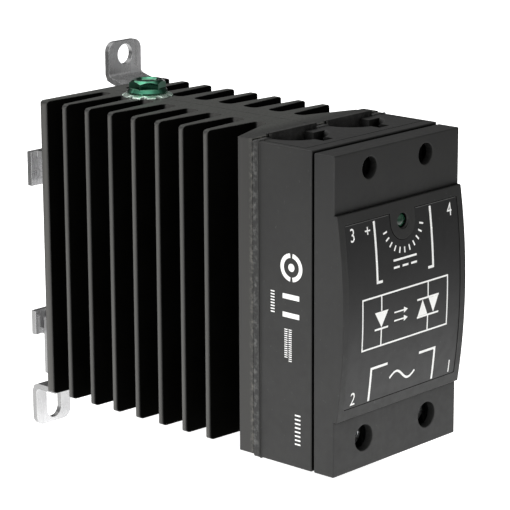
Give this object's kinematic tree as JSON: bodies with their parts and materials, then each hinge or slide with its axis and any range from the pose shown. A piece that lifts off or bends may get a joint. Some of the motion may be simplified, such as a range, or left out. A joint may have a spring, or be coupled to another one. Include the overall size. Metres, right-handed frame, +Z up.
{
  "type": "solid state relay",
  "caption": "Narrow solid state relay with clamp terminals on a finned black heatsink, held on a 35 mm rail or a flat panel.",
  "frame": {"origin": "the bracket's rear face, on the centre line of the rail that it hangs on", "axes": "+X to the right seen from the front, +Y from the front face towards the rail, +Z up"},
  "size_m": [0.045, 0.1083, 0.097],
  "materials": {
    "housing_plastic": "moulded thermoplastic, fine satin texture",
    "label_film": "printed polyester film, satin",
    "black_anodised": "black anodised extrusion, satin",
    "bright_steel": "bright zinc or nickel plated sheet",
    "green_plated": "green passivated plating, glossy",
    "screw_steel": "zinc plated",
    "plated_copper": "tinned or bare copper",
    "white_ceramic": "sintered alumina",
    "silicon": "passivated silicon",
    "board_laminate": "solder-masked glass laminate",
    "black_epoxy": "moulded epoxy",
    "capacitor_film": "epoxy coated",
    "varistor_epoxy": "epoxy dipped",
    "resistor_lacquer": "lacquered",
    "window_plastic": "dark green tinted polycarbonate",
    "led_epoxy": "diffused green epoxy"
  },
  "bodies": {
    "frame": {"heatsink": "black_anodised", "base_housing": "housing_plastic", "front_cover": "housing_plastic", "nameplate_label": "label_film", "status_window": "window_plastic", "status_led": "led_epoxy", "heat_spreader": "plated_copper", "ceramic_substrate": "white_ceramic", "scr_chip_lower": "silicon", "scr_chip_upper": "silicon", "control_board": "board_laminate", "optocoupler": "black_epoxy", "snubber_capacitor": "capacitor_film", "snubber_resistor": "white_ceramic", "varistor": "varistor_epoxy", "input_resistor": "resistor_lacquer", "gate_resistor": "resistor_lacquer", "gate_lead_1": "bright_steel", "gate_lead_2": "bright_steel", "gate_lead_3": "bright_steel", "mounting_bracket": "bright_steel", "bracket_screw_lower": "screw_steel", "bracket_screw_upper": "screw_steel", "latch_spring": "screw_steel", "input_contact_left": "plated_copper", "output_busbar_left": "plated_copper", "housing_screw_left": "screw_steel", "latch_rivet_left": "screw_steel", "input_contact_right": "plated_copper", "output_busbar_right": "plated_copper", "housing_screw_right": "screw_steel", "latch_rivet_right": "screw_steel"},
    "earth_washer": {"earth_washer": "green_plated"},
    "earth_screw": {"earth_screw": "green_plated"},
    "din_latch": {"din_latch": "bright_steel"},
    "input_clamp_left": {"input_clamp_left": "bright_steel"},
    "output_clamp_left": {"output_clamp_left": "bright_steel"},
    "input_screw_left": {"input_screw_left": "screw_steel"},
    "output_screw_left": {"output_screw_left": "screw_steel"},
    "input_clamp_right": {"input_clamp_right": "bright_steel"},
    "output_clamp_right": {"output_clamp_right": "bright_steel"},
    "input_screw_right": {"input_screw_right": "screw_steel"},
    "output_screw_right": {"output_screw_right": "screw_steel"}
  },
  "joints": [
    {"name": "input_left_turn", "type": "hinge", "parent": "frame", "child": "input_screw_left", "pos_m": [-0.0101, -0.0946, 0.03355], "axis": [0, 1, 0], "range_deg": [0, 2882]},
    {"name": "input_left_clamp", "type": "slide", "parent": "frame", "child": "input_clamp_left", "axis": [0, -1, 0], "range_m": [0, 0.0048]},
    {"name": "input_right_turn", "type": "hinge", "parent": "frame", "child": "input_screw_right", "pos_m": [0.0101, -0.0946, 0.03355], "axis": [0, 1, 0], "range_deg": [0, 2882]},
    {"name": "input_right_clamp", "type": "slide", "parent": "frame", "child": "input_clamp_right", "axis": [0, -1, 0], "range_m": [0, 0.0048]},
    {"name": "output_left_turn", "type": "hinge", "parent": "frame", "child": "output_screw_left", "pos_m": [-0.0116, -0.0948, -0.0304], "axis": [0, 1, 0], "range_deg": [0, 2882]},
    {"name": "output_left_clamp", "type": "slide", "parent": "frame", "child": "output_clamp_left", "axis": [0, -1, 0], "range_m": [0, 0.0056]},
    {"name": "output_right_turn", "type": "hinge", "parent": "frame", "child": "output_screw_right", "pos_m": [0.0116, -0.0948, -0.0304], "axis": [0, 1, 0], "range_deg": [0, 2882]},
    {"name": "output_right_clamp", "type": "slide", "parent": "frame", "child": "output_clamp_right", "axis": [0, -1, 0], "range_m": [0, 0.0056]},
    {"name": "earth_lift", "type": "slide", "parent": "frame", "child": "earth_washer", "axis": [0, 0, 1], "range_m": [0, 0.004]},
    {"name": "earth_turn", "type": "hinge", "parent": "earth_washer", "child": "earth_screw", "pos_m": [0, -0.0171, 0.0424], "axis": [0, 0, 1], "range_deg": [0, 1802]},
    {"name": "latch_release", "type": "slide", "parent": "frame", "child": "din_latch", "axis": [0, 0, -1], "range_m": [0, 0.003], "stiffness_N_per_m": 800, "springref_m": -0.004, "deforming": ["latch_spring"]}
  ],
  "couplings": [
    {"joint": "input_left_turn", "follows": "input_left_clamp", "rad_per_m": 10472},
    {"joint": "input_right_turn", "follows": "input_right_clamp", "rad_per_m": 10472},
    {"joint": "output_left_turn", "follows": "output_left_clamp", "rad_per_m": 8976},
    {"joint": "output_right_turn", "follows": "output_right_clamp", "rad_per_m": 8976},
    {"joint": "earth_turn", "follows": "earth_lift", "rad_per_m": 7854}
  ]
}
